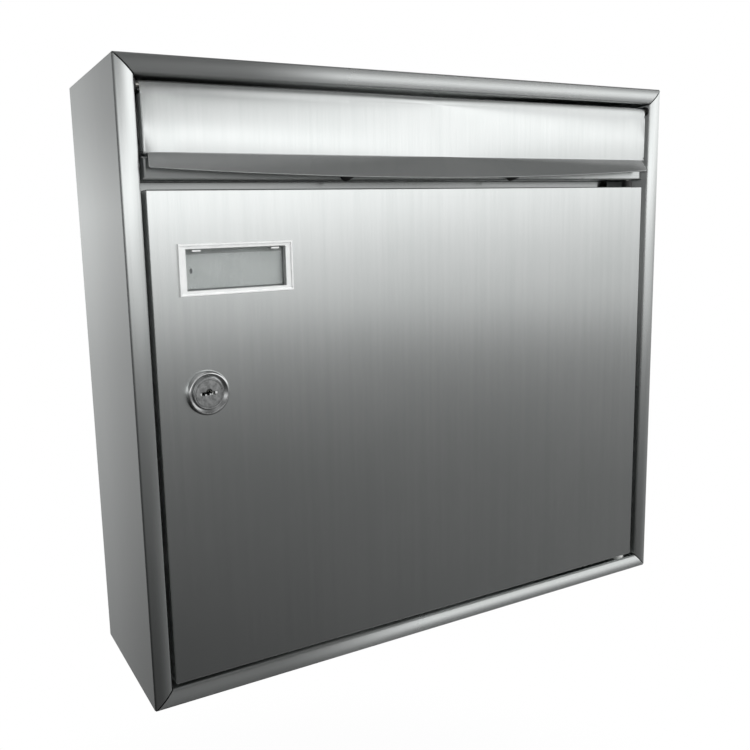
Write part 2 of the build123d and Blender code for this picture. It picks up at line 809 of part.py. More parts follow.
# ---------------------------------------------------------------- write every sub-part
save("casing_left", casing_side(-1))
save("casing_right", casing_side(1))
save("casing_top", casing_top())
save("casing_bottom", casing_bottom())
save("back_panel", back_panel())
save("cross_rail", cross_rail())
save("rail_rivets", rail_rivets())
save("flap_buffers", flap_buffers())
save("door_buffers", door_buffers())
save("flap_bush_left", flap_bush(-1))
save("flap_bush_right", flap_bush(1))
save("hinge_pin_upper", hinge_pin_upper())
save("hinge_pin_lower", hinge_pin_lower())
save("flap_panel", flap_panel())
save("flap_rod", flap_rod())
save("rod_caps", rod_caps())
save("door_panel", door_panel())
save("hinge_bush_upper", hinge_bush_upper())
save("hinge_bush_lower", hinge_bush_lower())
save("name_cover", name_cover())
save("name_card", name_card())
save("name_holder", name_holder())
save("lock_body", lock_body())
save("lock_washer", lock_washer())
save("lock_nut", lock_nut())
save("lock_core", lock_core())
save("wafers", wafers())
save("wafer_springs", wafer_springs())
save("cam", cam())
save("cam_washer", cam_washer())
save("cam_screw", cam_screw())
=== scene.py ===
import math

import bmesh
import bpy
from mathutils import Matrix, Vector


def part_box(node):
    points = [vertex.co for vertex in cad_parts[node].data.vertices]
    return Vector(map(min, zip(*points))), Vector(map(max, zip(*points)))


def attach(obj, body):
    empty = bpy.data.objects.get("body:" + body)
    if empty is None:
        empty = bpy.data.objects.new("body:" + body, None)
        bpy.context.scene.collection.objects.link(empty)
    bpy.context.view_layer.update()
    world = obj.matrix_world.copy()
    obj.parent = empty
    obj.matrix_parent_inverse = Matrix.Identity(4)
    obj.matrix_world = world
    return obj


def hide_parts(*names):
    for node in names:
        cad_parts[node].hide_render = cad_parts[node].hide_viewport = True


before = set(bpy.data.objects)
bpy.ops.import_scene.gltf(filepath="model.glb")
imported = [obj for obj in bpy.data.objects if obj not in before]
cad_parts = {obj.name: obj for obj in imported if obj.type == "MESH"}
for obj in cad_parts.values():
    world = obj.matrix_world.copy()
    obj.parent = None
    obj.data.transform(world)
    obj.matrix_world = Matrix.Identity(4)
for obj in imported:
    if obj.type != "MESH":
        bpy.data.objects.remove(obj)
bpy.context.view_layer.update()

mm = 0.001
scene = bpy.context.scene
tiny = 1e-6    # two places closer than this are one


class Wire:
    # a socket that can stand in a sum, a product or a power
    def __init__(self, maker, socket):
        self.maker = maker
        self.socket = socket

    def calc(self, operation, other=0.0, swapped=False):
        pair = {0: other, 1: self} if swapped else {0: self, 1: other}
        return self.maker.node("ShaderNodeMath", {"operation": operation}, pair)

    def __add__(self, other):
        return self.calc("ADD", other)

    __radd__ = __add__

    def __sub__(self, other):
        return self.calc("SUBTRACT", other)

    def __rsub__(self, other):
        return self.calc("SUBTRACT", other, swapped=True)

    def __mul__(self, other):
        return self.calc("MULTIPLY", other)

    __rmul__ = __mul__

    def __pow__(self, other):
        return self.calc("POWER", other)

    def __neg__(self):
        return self.calc("MULTIPLY", -1.0)


def tint(level):
    # a grey from one number, or a colour from three
    return (level, level, level, 1) if isinstance(level, (int, float)) else (*level[:3], 1)


class Maker:
    # adds nodes to one tree
    def __init__(self, tree):
        self.tree = tree
        self.tree.nodes.clear()

    def node(self, kind, settings=None, inputs=None, output=0):
        made = self.tree.nodes.new(kind)
        for key, value in (settings or {}).items():
            if key == "stops":
                ramp = made.color_ramp
                while len(ramp.elements) < len(value):
                    ramp.elements.new(0.5)
                for element, (place, level) in zip(ramp.elements, value):
                    element.position = place
                    element.color = tint(level)
            else:
                setattr(made, key, value)
        for key, value in (inputs or {}).items():
            if isinstance(value, Wire):
                self.tree.links.new(value.socket, made.inputs[key])
            else:
                made.inputs[key].default_value = value
        return Wire(self, made.outputs[output] if made.outputs else None)

    def split(self, vector):
        made = self.node("ShaderNodeSeparateXYZ", {}, {0: vector}).socket.node
        return [Wire(self, socket) for socket in made.outputs]

    def noise(self, place, stretch, detail=2.0, rough=0.5):
        # noise whose cells are this long along each axis
        scaled = self.node("ShaderNodeVectorMath", {"operation": "MULTIPLY"},
                           {0: place, 1: [1 / length for length in stretch]})
        return self.node("ShaderNodeTexNoise", {},
                         {"Vector": scaled, "Scale": 1.0, "Detail": detail, "Roughness": rough})

    def smooth(self, value, low, high):
        return self.node("ShaderNodeMapRange", {"interpolation_type": "SMOOTHSTEP"},
                         {"Value": value, "From Min": low, "From Max": high})

    def blend(self, factor, first, second):
        first, second = (level if isinstance(level, Wire) else tint(level) for level in (first, second))
        return self.node("ShaderNodeMix", {"data_type": "RGBA"}, {0: factor, 6: first, 7: second}, 2)

    def bump(self, height, strength, distance, lift=0.0):
        inputs = {"Strength": strength, "Distance": distance, "Height": height}
        if lift:
            normal = self.node("ShaderNodeNewGeometry", {}, {}, 1)
            raised = self.node("ShaderNodeVectorMath", {"operation": "ADD"}, {0: normal, 1: (0, 0, lift)})
            inputs["Normal"] = self.node("ShaderNodeVectorMath", {"operation": "NORMALIZE"}, {0: raised})
        return self.node("ShaderNodeBump", {}, inputs)


def newMaterial(name, paint):
    # paint(maker, place) gives either the Principled inputs or a finished shader
    made = bpy.data.materials.new(name)
    made.use_nodes = True
    maker = Maker(made.node_tree)
    place = maker.node("ShaderNodeTexCoord", {}, {}, 3)
    shader = paint(maker, place)
    if isinstance(shader, dict):
        shader = maker.node("ShaderNodeBsdfPrincipled", {}, shader)
    maker.node("ShaderNodeOutputMaterial", {}, {"Surface": shader})
    return made


wearRange = (0.35, 0.65)    # of the noise, from the darker tone to the lighter


steelLook = {
    "light": (0.79, 0.812, 0.806),
    "dark": (0.73, 0.757, 0.75),
    "toneRange": (0.36, 0.64),
    "fineAcross": 0.25 * mm,
    "fineAlong": 30 * mm,
    "fineShare": 0.35,
    "broadAcross": 4 * mm,
    "broadAlong": 260 * mm,
    "broadShare": 0.3,
    "smudge": 70 * mm,
    "smudgeShare": 0.35,
    "upright": 0.25,    # roughness of the door, flap and side walls
    "return": 0.6,      # the returns behind the frame
    "sheet": 0.32,      # the back panel and the level outer walls
    "frontPaintedShade": 0.3,   # how much painted shade darkens the outer walls towards the front
    "railEnd": 0.42,    # left end of the level pieces
    "railRest": 0.27,
    "stop": 0.14,       # the cross rail's rear flange
    "spread": 0.05,     # how far the shade moves the roughness
    "relief": 0.3,
    "scratch": 0.0012 * mm,
}


def brushedSteel(grain, turn, rough, zones=None, lift=0.0, stretch=1.0):
    # the grain runs along one axis; turn swings the stretched highlight across it
    # zones gives roughness and a painted-shade tone from the place; lift tips the brushed surface upwards
    look = steelLook

    def paint(maker, place):
        def cells(across, along):
            return [along if axis == grain else across for axis in "XYZ"]

        fine = maker.noise(place, cells(look["fineAcross"], look["fineAlong"]), 3.0, 0.6)
        broad = maker.noise(place, cells(look["broadAcross"], look["broadAlong"]), 3.0, 0.55)
        smudge = maker.noise(place, [look["smudge"]] * 3, 4.0, 0.6)
        shade = fine * look["fineShare"] + broad * look["broadShare"] + smudge * look["smudgeShare"]
        colour = maker.blend(maker.smooth(shade, *look["toneRange"]), look["dark"], look["light"])
        dull = rough
        if zones:
            dull, tone = zones(maker, *maker.split(place))
            colour = maker.node("ShaderNodeVectorMath", {"operation": "SCALE"}, {0: colour, "Scale": tone})
        return {
            "Base Color": colour,
            "Metallic": 1.0,
            "Roughness": dull + (shade - 0.5) * look["spread"],
            "Anisotropic": stretch,
            "Anisotropic Rotation": turn,
            "Normal": maker.bump(fine + broad * 0.5, look["relief"], look["scratch"], lift),
        }

    return paint


metalLook = {
    "cell": 2 * mm,
    "spread": 0.12,     # how far wear moves the roughness
    "relief": 0.2,
    "wear": 0.006 * mm,
}


def plainMetal(light, dark, rough, cell=metalLook["cell"]):
    look = metalLook

    def paint(maker, place):
        wear = maker.noise(place, [cell] * 3, 4.0, 0.6)
        return {
            "Base Color": maker.blend(maker.smooth(wear, *wearRange), dark, light),
            "Metallic": 1.0,
            "Roughness": rough + (wear - 0.5) * look["spread"],
            "Normal": maker.bump(wear, look["relief"], look["wear"]),
        }

    return paint


chromeLook = {
    "light": (0.84, 0.85, 0.85),
    "dark": (0.74, 0.75, 0.75),
    "dish": (0.5, 0.51, 0.51),
    "dishInner": (8.1 * mm, 8.3 * mm),
    "dishOuter": (10.0 * mm, 10.15 * mm),
    # painted shade: a dark colour round the foot of the rim's lower half
    "paintedRimShade": (0.05, 0.05, 0.05),
    "paintedRimShadeShare": 0.85,
    "paintedRimShadeReach": (10.7 * mm, 11.5 * mm),
    "paintedRimShadeDrop": (0, 7 * mm),     # below the lock's middle
    "rough": 0.1,
    "cell": 3 * mm,
}


def rosetteChrome(maker, place):
    # polished, with painted shade round the foot of the rim's lower half
    look = chromeLook
    x, y, z = maker.split(place)
    spot = sum(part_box("lock_body"), Vector()) / 2
    wear = maker.noise(place, [look["cell"]] * 3, 4.0, 0.6)
    reach = ((x - spot.x) ** 2.0 + (z - spot.z) ** 2.0) ** 0.5
    # painted shade darkens the rim's foot below the lock's middle
    paintedRimShade = maker.smooth(reach, *look["paintedRimShadeReach"]) * maker.smooth(spot.z - z, *look["paintedRimShadeDrop"])
    dish = maker.smooth(reach, *look["dishInner"]) * (1 - maker.smooth(reach, *look["dishOuter"]))
    polished = maker.blend(maker.smooth(wear, *wearRange), look["dark"], look["light"])
    dished = maker.blend(dish, polished, look["dish"])
    return {
        "Base Color": maker.blend(paintedRimShade * look["paintedRimShadeShare"], dished, look["paintedRimShade"]),
        "Metallic": 1.0,
        "Roughness": look["rough"] + (wear - 0.5) * 0.05 + dish * 0.1,
        "Normal": maker.bump(wear, metalLook["relief"], metalLook["wear"]),
    }


def moulded(colour, rough, cell=0.35 * mm):
    def paint(maker, place):
        grain = maker.noise(place, [cell] * 3, 3.0, 0.6)
        broad = maker.noise(place, [9 * mm] * 3, 3.0, 0.6)
        darker = [part * 0.8 for part in colour]
        return {
            "Base Color": maker.blend(maker.smooth(broad * 0.6 + grain * 0.4, *wearRange), darker, colour),
            "Roughness": rough + (grain - 0.5) * 0.2,
            "Normal": maker.bump(grain, 0.3, 0.02 * mm),
        }

    return paint


plateLook = {
    "ridge": 0.6 * mm,
    "ridgeSlope": 0.25 * mm,
    "ridgeTop": 0.75 * mm,
    "edge": 0.15 * mm,
    "bodyWidth": 56.6 * mm,
    "bodyHeight": 22.2 * mm,
    "recessWidth": 55.6 * mm,
    "recessHeight": 21.0 * mm,
    "paneDepth": 1.0 * mm,     # pane behind the door face
    "paneEdge": 0.1 * mm,      # the pane's finish ends this far inside the recess
    "paneBlend": 0.05 * mm,
    "paneGloss": 0.35,
    "wallPaintedShade": (0.15 * mm, 0.4 * mm),    # outwards from the pane, from the recess wall's painted shade to the border
    "ior": 1.49,
    "tabLength": 4.4 * mm,
    "tabHeight": 0.8 * mm,
    "tabDrop": 0.5 * mm,
    "tabBack": 0.2 * mm,       # tabs behind the flat border
    "tabGap": 0.05 * mm,       # between tabs and pane
    "tabSpacing": 44.0 * mm,
}
plateMiddle = sum(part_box("name_cover"), Vector()) / 2


def clearCover(maker, place):
    # a clear pane inside a thicker, slightly milky border
    look = plateLook
    x, y, z = maker.split(place)
    scuff = maker.noise(place, [5 * mm] * 3, 4.0, 0.6)
    fine = maker.noise(place, [0.6 * mm] * 3, 3.0, 0.6)
    outX = (x - plateMiddle.x).calc("ABSOLUTE") - (look["recessWidth"] / 2 - look["paneEdge"])
    outZ = (z - plateMiddle.z).calc("ABSOLUTE") - (look["recessHeight"] / 2 - look["paneEdge"])
    out = outX.calc("MAXIMUM", outZ)
    border = maker.smooth(out, -look["paneBlend"], look["paneBlend"])
    milky = maker.blend(maker.smooth(scuff, 0.3, 0.7), (0.86, 0.875, 0.87), (0.93, 0.94, 0.935))
    rim = maker.node("ShaderNodeBsdfPrincipled", {}, {
        # painted shade: the recess's own walls are darker than the border
        "Base Color": maker.blend(maker.smooth(out, *look["wallPaintedShade"]), (0.45, 0.46, 0.46), milky),
        "Roughness": 0.08 + maker.smooth(fine, 0.4, 0.8) * 0.1,
        "IOR": look["ior"],
        "Transmission Weight": 0.25,
        "Normal": maker.bump(scuff, 0.2, 0.03 * mm),
    })
    through = maker.node("ShaderNodeBsdfTransparent", {}, {"Color": tint((0.96, 0.97, 0.968))})
    shine = maker.node("ShaderNodeBsdfPrincipled", {}, {
        "Base Color": maker.blend(scuff, (0.8, 0.8, 0.8), (0.9, 0.9, 0.9)),
        "Metallic": 1.0,
        "Roughness": 0.05 + maker.smooth(fine, 0.45, 0.8) * 0.1,
    })
    edgeOn = maker.node("ShaderNodeFresnel", {}, {"IOR": look["ior"]})
    pane = maker.node("ShaderNodeMixShader", {}, {0: edgeOn * look["paneGloss"], 1: through, 2: shine})
    return maker.node("ShaderNodeMixShader", {}, {0: border, 1: pane, 2: rim})


cardLook = {
    "light": (0.93, 0.95, 0.943),
    "dark": (0.84, 0.865, 0.855),
    "fibre": (0.5 * mm, 0.5 * mm, 0.4 * mm),
    "cloud": (16 * mm, 16 * mm, 9 * mm),
    # painted shadow along the card's top
    "paintedTopShadow": (0.58, 0.6, 0.592),
    "paintedTopShadowDrop": (2.9 * mm, 2.3 * mm),    # its lower edge, below the top of the window
    # painted shade: a thin dark line round the card's other sides
    "line": (0.3, 0.31, 0.31),
    "lineIn": 0.9 * mm,
    "lineBlend": 0.3 * mm,
    "fleck": (0.16, 0.17, 0.17),
    "fleckPlace": (-24.4 * mm, -0.5 * mm),    # from the middle of the plate
    "fleckSquash": 0.5,
    "fleckReach": (0.5 * mm, 0.9 * mm),
}


def cardStock(maker, place):
    look = cardLook
    fibre = maker.noise(place, look["fibre"], 4.0, 0.7)
    broad = maker.noise(place, look["cloud"], 3.0, 0.55)
    x, y, z = maker.split(place)
    paper = maker.blend(maker.smooth(broad * 0.75 + fibre * 0.25, 0.3, 0.7), look["dark"], look["light"])
    # painted shadow along the top, under the recess's upper wall, and a thin line of painted shade round the
    # rest
    top = plateMiddle.z + plateLook["recessHeight"] / 2
    edge = maker.smooth(z, *[top - drop for drop in look["paintedTopShadowDrop"]])
    paintedTopShadow = maker.blend(edge, paper, look["paintedTopShadow"])
    outX = (x - plateMiddle.x).calc("ABSOLUTE") - (plateLook["recessWidth"] / 2 - look["lineIn"])
    outZ = (plateMiddle.z - z) - (plateLook["recessHeight"] / 2 - look["lineIn"])
    rimShaded = maker.blend(maker.smooth(outX.calc("MAXIMUM", outZ), 0, look["lineBlend"]), paintedTopShadow, look["line"])
    fleckX = x - (plateMiddle.x + look["fleckPlace"][0])
    fleckZ = (z - (plateMiddle.z + look["fleckPlace"][1])) * look["fleckSquash"]
    fleck = (fleckX ** 2.0 + fleckZ ** 2.0) ** 0.5
    return {
        "Base Color": maker.blend(maker.smooth(fleck, *look["fleckReach"]), look["fleck"], rimShaded),
        "Roughness": 0.75 + (fibre - 0.5) * 0.2,
        "Normal": maker.bump(fibre, 0.4, 0.02 * mm),
    }


finishes = {name: newMaterial(name, paint) for name, paint in {
    "steelUpright": brushedSteel("Z", 0.0, steelLook["upright"]),
    "sheetSteel": brushedSteel("Z", 0.0, steelLook["sheet"], stretch=0.0),
    "levelSteel": brushedSteel("X", 0.0, steelLook["sheet"], stretch=0.0),
    "lockChrome": rosetteChrome,
    "lockFace": plainMetal((0.60, 0.61, 0.61), (0.4, 0.41, 0.41), 0.24, 2.6 * mm),
    "zincPlate": plainMetal((0.68, 0.67, 0.62), (0.56, 0.56, 0.53), 0.32),
    "nickelPlate": plainMetal((0.86, 0.85, 0.81), (0.74, 0.73, 0.69), 0.12, 1 * mm),
    "blackRubber": moulded((0.018, 0.018, 0.018), 0.6),
    "darkNylon": moulded((0.03, 0.03, 0.03), 0.4),
    "whiteNylon": moulded((0.93, 0.93, 0.91), 0.45),
    "greyPlastic": moulded((0.32, 0.33, 0.33), 0.45),
    "clearPlastic": clearCover,
    "tabPlastic": moulded((0.85, 0.86, 0.855), 0.2, 2 * mm),
    "cardStock": cardStock,
}.items()}
print("finishes made:", len(finishes))


def evenNormals(mesh, crease):
    # large flat faces keep their own normal, so only the bends between them shade round
    mesh.polygons.foreach_set("use_smooth", [True] * len(mesh.polygons))
    around = [[] for vert in mesh.vertices]
    for polygon in mesh.polygons:
        for index in polygon.vertices:
            around[index].append((polygon.normal.copy(), polygon.area ** 2))
    limit = math.cos(math.radians(crease))
    normals = [None] * len(mesh.loops)
    for polygon in mesh.polygons:
        for loop in polygon.loop_indices:
            near = around[mesh.loops[loop].vertex_index]
            total = sum((normal * weight for normal, weight in near if normal.dot(polygon.normal) > limit),
                        Vector())
            normals[loop] = total.normalized() if total.length > 0 else polygon.normal.copy()
    mesh.normals_split_custom_set(normals)


def newPiece(name, shape, finish, body, stands=(), crease=32):
    # a shown piece that rides on a body and stands for CAD nodes
    bmesh.ops.remove_doubles(shape, verts=shape.verts, dist=tiny)
    bmesh.ops.recalc_face_normals(shape, faces=shape.faces)
    if shape.calc_volume(signed=True) < 0:    # a deeply stepped shell can come out turned inwards
        bmesh.ops.reverse_faces(shape, faces=shape.faces)
    mesh = bpy.data.meshes.new(name)
    shape.to_mesh(mesh)
    shape.free()
    evenNormals(mesh, crease)
    mesh.materials.append(finishes[finish])
    piece = bpy.data.objects.new(name, mesh)
    scene.collection.objects.link(piece)
    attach(piece, body)
    if stands:
        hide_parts(*stands)
    return piece


def middle(node):
    return sum(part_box(node), Vector()) / 2


def chain(shape, points):
    # vertices joined by edges, in order
    verts = [shape.verts.new(point) for point in points]
    for first, second in zip(verts, verts[1:]):
        shape.edges.new((first, second))
    return verts


def roundCorner(shape, place, offset, segments):
    # rounds the corner nearest to a place
    vert = min(shape.verts, key=lambda item: (item.co - Vector(place)).length)
    bmesh.ops.bevel(shape, geom=[vert], offset=offset, offset_type="OFFSET", segments=segments,
                    profile=0.5, affect="VERTICES", material=-1)


def roundEdges(shape, edges, offset, segments):
    bmesh.ops.bevel(shape, geom=list(edges), offset=offset, offset_type="OFFSET", segments=segments,
                    profile=0.5, affect="EDGES", material=-1, clamp_overlap=True)


def pull(shape, edges, step, count=1):
    # extrudes edges into a sheet, in count steps
    made = list(edges)
    for _ in range(count):
        found = bmesh.ops.extrude_edge_only(shape, edges=made)["geom"]
        verts = {item for item in found if isinstance(item, bmesh.types.BMVert)}
        made = [item for item in found
                if isinstance(item, bmesh.types.BMEdge) and verts.issuperset(item.verts)]
        bmesh.ops.translate(shape, verts=list(verts), vec=Vector(step) / count)
    return made


def thicken(shape, thickness):
    # gives an open sheet its thickness, behind its normals
    bmesh.ops.recalc_face_normals(shape, faces=shape.faces)
    bmesh.ops.solidify(shape, geom=list(shape.faces), thickness=thickness)


def cutOff(shape, point, normal, geom=None, fill=True):
    # cuts along a plane and drops what lies on the normal's side
    geom = geom or [*shape.verts, *shape.edges, *shape.faces]
    found = bmesh.ops.bisect_plane(shape, geom=geom, dist=1e-7, plane_co=point, plane_no=normal,
                                   clear_outer=True)
    edges = [item for item in found["geom_cut"] if isinstance(item, bmesh.types.BMEdge)]
    if fill and edges:
        bmesh.ops.holes_fill(shape, edges=edges, sides=0)


def block(shape, low, high):
    # adds a box between two corners and gives back its vertices
    low, high = Vector(low), Vector(high)
    return bmesh.ops.create_cube(shape, size=1.0, matrix=Matrix.Translation((low + high) / 2)
                                 @ Matrix.Diagonal((*(high - low), 1)))["verts"]


def facing(shape, direction):
    # the face that lies furthest along a direction
    return max(shape.faces, key=lambda face: face.calc_center_median().dot(Vector(direction)))


def stepTo(shape, face, centre, half, y):
    # runs a new rectangular ring in from a face's outline to a rectangle at another depth
    bmesh.ops.inset_region(shape, faces=[face], thickness=0.01 * mm)
    for vert in face.verts:
        vert.co.x = centre.x + math.copysign(half[0], vert.co.x - centre.x)
        vert.co.z = centre.z + math.copysign(half[1], vert.co.z - centre.z)
        vert.co.y = y


def turned(outline, centre, steps):
    # spins an outline of (radius, y) round the y axis and moves it to a centre
    shape = bmesh.new()
    verts = chain(shape, [(radius, y, 0) for radius, y in outline])
    edges = list({edge for vert in verts for edge in vert.link_edges})
    bmesh.ops.spin(shape, geom=verts + edges, cent=(0, 0, 0), axis=(0, 1, 0), dvec=(0, 0, 0),
                   angle=math.tau, steps=steps, use_merge=True, use_duplicate=False)
    bmesh.ops.remove_doubles(shape, verts=shape.verts, dist=tiny)
    bmesh.ops.translate(shape, verts=shape.verts, vec=centre)
    return shape


casingLook = {
    "sheet": 1.0 * mm,
    "face": 10.0 * mm,
    "crown": 1.3 * mm,
    "crownCuts": 8,
    "returnDepth": 17.5 * mm,
    "hem": 5.0 * mm,
    "rearFlange": 14.0 * mm,
    "rearBend": 2.5 * mm,
    "frontBend": 1.05 * mm,   # the crown leaves less than a right angle at the front bends
    "innerBend": 1.05 * mm,
    "hemBend": 1.0 * mm,
    "bendSteps": 6,
    "levelDepth": 1.5 * mm,
    "seam": 0.75 * mm,
}
caseHalf = Vector((-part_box("casing_left")[0].x, 0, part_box("casing_top")[1].z))
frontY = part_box("casing_left")[0].y + casingLook["crown"]
openHalf = caseHalf - Vector((casingLook["face"], 0, casingLook["face"]))


frameLook = {
    # the returns are duller: how far behind the face, out from the opening, and between which heights
    "returnIn": (0.3 * mm, 1.3 * mm),
    "returnOut": (1.4 * mm, 2 * mm),
    "returnUp": (-60 * mm, 105 * mm),
    # the outer walls, out from the opening, and the depths between which painted shade darkens them
    "outerOut": (9.2 * mm, 9.8 * mm),
    "outerIn": (-105 * mm, 0),
    # the level pieces' left ends are duller and darker by painted shade, from the first place to the second
    "top": {"end": (-125 * mm, -50 * mm), "tone": 0.6, "lift": 0.05},
    "bottom": {"end": (-120 * mm, 0), "tone": 0.52, "lift": 0.17},
    "levelTurn": 0.25,    # a quarter turn sets the highlight across a level grain
}


def frameSteel(grain, turn, end=None, tone=1.0, lift=0.0):
    look = frameLook

    def zones(maker, x, y, z):
        dull, shade = steelLook["upright"], 1.0
        if end:
            along = maker.smooth(x, *end)
            dull = steelLook["railEnd"] + along * (steelLook["railRest"] - steelLook["railEnd"])
            # painted shade: the left end darker
            shade = tone + along * (1 - tone)
        out = (x.calc("ABSOLUTE") - openHalf.x).calc("MAXIMUM", z.calc("ABSOLUTE") - openHalf.z)
        inside = maker.smooth(y, *[frontY + depth for depth in look["returnIn"]])
        inside = inside * (1 - maker.smooth(out, *look["returnOut"])) * maker.smooth(z, *look["returnUp"])
        # painted shade: the outer walls darker towards the front
        outside = maker.smooth(out, *look["outerOut"]) * (1 - maker.smooth(y, *look["outerIn"]))
        return dull + inside * (steelLook["return"] - dull), shade * (1 - outside * steelLook["frontPaintedShade"])

    return brushedSteel(grain, turn, 0.0, zones, lift)


finishes["frameUpright"] = newMaterial("frameUpright", frameSteel("Z", 0.0))
for name, side in {"frameTop": "top", "frameBottom": "bottom"}.items():
    finishes[name] = newMaterial(name, frameSteel("X", frameLook["levelTurn"], **frameLook[side]))


def casingWall(name, node, length, turns, distance, finish):
    # a folded section, pulled out, mitred at both ends and turned to its side of the box
    look = casingLook
    shape = bmesh.new()
    face = look["face"]
    deep = frontY + look["returnDepth"]
    points = [(look["rearFlange"], 0, 0), (0, 0, 0), (0, frontY, 0), (face, frontY, 0), (face, deep, 0),
              (look["hem"], deep, 0)]
    verts = chain(shape, points)
    frontEdge = next(edge for edge in verts[2].link_edges if verts[3] in edge.verts)
    cuts = bmesh.ops.subdivide_edges(shape, edges=[frontEdge], cuts=look["crownCuts"])["geom_inner"]
    for vert in (item for item in cuts if isinstance(item, bmesh.types.BMVert)):
        across = vert.co.x / face * 2 - 1
        vert.co.y -= look["crown"] * (1 - across * across)
    for place, bend in zip(points[1:5], ("rearBend", "frontBend", "innerBend", "hemBend")):
        roundCorner(shape, place, look[bend], look["bendSteps"])
    pull(shape, shape.edges, (0, 0, length))
    bmesh.ops.translate(shape, verts=shape.verts, vec=(0, 0, -length / 2))
    thicken(shape, look["sheet"])
    end = length / 2 - look["seam"] / math.sqrt(2)
    cutOff(shape, (0, 0, end), (1, 0, 1))
    cutOff(shape, (0, 0, -end), (1, 0, -1))
    bmesh.ops.translate(shape, verts=shape.verts, vec=(-distance, 0, 0))
    bmesh.ops.rotate(shape, verts=shape.verts, cent=(0, 0, 0),
                     matrix=Matrix.Rotation(math.radians(90 * turns), 3, "Y"))
    piece = newPiece(name, shape, finish, "casing", [node])
    if turns % 2:
        # the stretched highlight would run in circles on a level sheet, so this one has none
        piece.data.materials.append(finishes["levelSteel"])
        for polygon in piece.data.polygons:
            outer = abs(polygon.center.z) > distance - look["levelDepth"]
            polygon.material_index = int(outer and abs(polygon.normal.z) > 0.9)


casingWall("wallLeft", "casing_left", 2 * caseHalf.z, 0, caseHalf.x, "frameUpright")
casingWall("wallTop", "casing_top", 2 * caseHalf.x, 1, caseHalf.z, "frameTop")
casingWall("wallRight", "casing_right", 2 * caseHalf.z, 2, caseHalf.x, "frameUpright")
casingWall("wallBottom", "casing_bottom", 2 * caseHalf.x, 3, caseHalf.z, "frameBottom")
print("casing walls made, opening", round(2 * openHalf.x / mm), "by", round(2 * openHalf.z / mm))


backLook = {
    "sheet": 1.0 * mm,
    "corner": 4.0 * mm,
    "cornerSteps": 5,
    "spacing": (300 * mm, 250 * mm),
    "pad": 9.0 * mm,
    "padWall": 1.0 * mm,
    "hole": 3.5 * mm,
    "steps": 32,
}


def backPanel():
    # a sheet pressed out to the wall at its four screw holes
    look = backLook
    low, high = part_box("back_panel")
    level = low.y
    pocket = look["pad"] - look["padWall"]
    shape = bmesh.new()
    corners = [(low.x, level, low.z), (high.x, level, low.z), (high.x, level, high.z), (low.x, level, high.z)]
    verts = chain(shape, corners)
    shape.edges.new((verts[-1], verts[0]))
    for place in corners:
        roundCorner(shape, place, look["corner"], look["cornerSteps"])
    outline = list(shape.edges)
    pads = []
    for x, z in ((-1, -1), (1, -1), (1, 1), (-1, 1)):
        spot = Vector((x * look["spacing"][0] / 2, level, z * look["spacing"][1] / 2))
        ring = bmesh.ops.create_circle(shape, cap_ends=False, segments=look["steps"], radius=pocket,
                                       matrix=Matrix.Translation(spot)
                                       @ Matrix.Rotation(math.radians(90), 4, "X"))["verts"]
        pads.append((spot, list({edge for vert in ring for edge in vert.link_edges})))
    bmesh.ops.triangle_fill(shape, use_beauty=True, normal=(0, 1, 0),
                            edges=outline + [edge for spot, edges in pads for edge in edges])
    for spot, edges in pads:
        steps = ((pocket, look["sheet"]), (look["hole"], 0))
        width = pocket
        for reach, rise in steps:
            edges = pull(shape, edges, (0, rise, 0))
            bmesh.ops.scale(shape, verts=list({vert for edge in edges for vert in edge.verts}),
                            vec=(reach / width, 1, reach / width), space=Matrix.Translation(-spot))
            width = reach
    thicken(shape, look["sheet"])
    for vert in shape.verts:    # every level lies a whole sheet from the wall
        vert.co.y = round(vert.co.y / look["sheet"]) * look["sheet"]
    newPiece("backPanel", shape, "sheetSteel", "casing", ["back_panel"])


backPanel()
print("back panel made")


railLook = {
    "sheet": 1.0 * mm,
    "bend": 1.3 * mm,
    "fold": 0.35 * mm,
    "bendSteps": 5,
    "endFold": 1.9 * mm,
    "endFoldSteps": 6,
    "endGap": 2.2 * mm,
    "endFlange": 5.0 * mm,
    "bufferDrop": 0.6 * mm,
    "rear": (9.0 * mm, 11.0 * mm),     # behind this depth the flange is duller and darker by painted shade
    "end": (-120 * mm, 0),             # the left end is duller and darker by painted shade, from the first place to the second
    "tone": 0.95,
    "rearPaintedShade": 0.5,
}
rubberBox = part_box("flap_buffers")
railLevel = rubberBox[0].z + railLook["bufferDrop"]      # underside of the rail


def railZones(maker, x, y, z):
    look = railLook
    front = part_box("cross_rail")[0].y
    behind = maker.smooth(y, front + look["rear"][0], front + look["rear"][1])
    along = maker.smooth(x, *look["end"])
    dull = steelLook["railEnd"] + along * (steelLook["railRest"] - steelLook["railEnd"])
    # painted shade: the left end and the rear flange darker
    tone = look["tone"] + along * (1 - look["tone"])
    return dull + behind * (steelLook["stop"] - dull), tone * (1 - behind * look["rearPaintedShade"])


finishes["steelRail"] = newMaterial("steelRail", brushedSteel("X", frameLook["levelTurn"], 0.0, railZones))


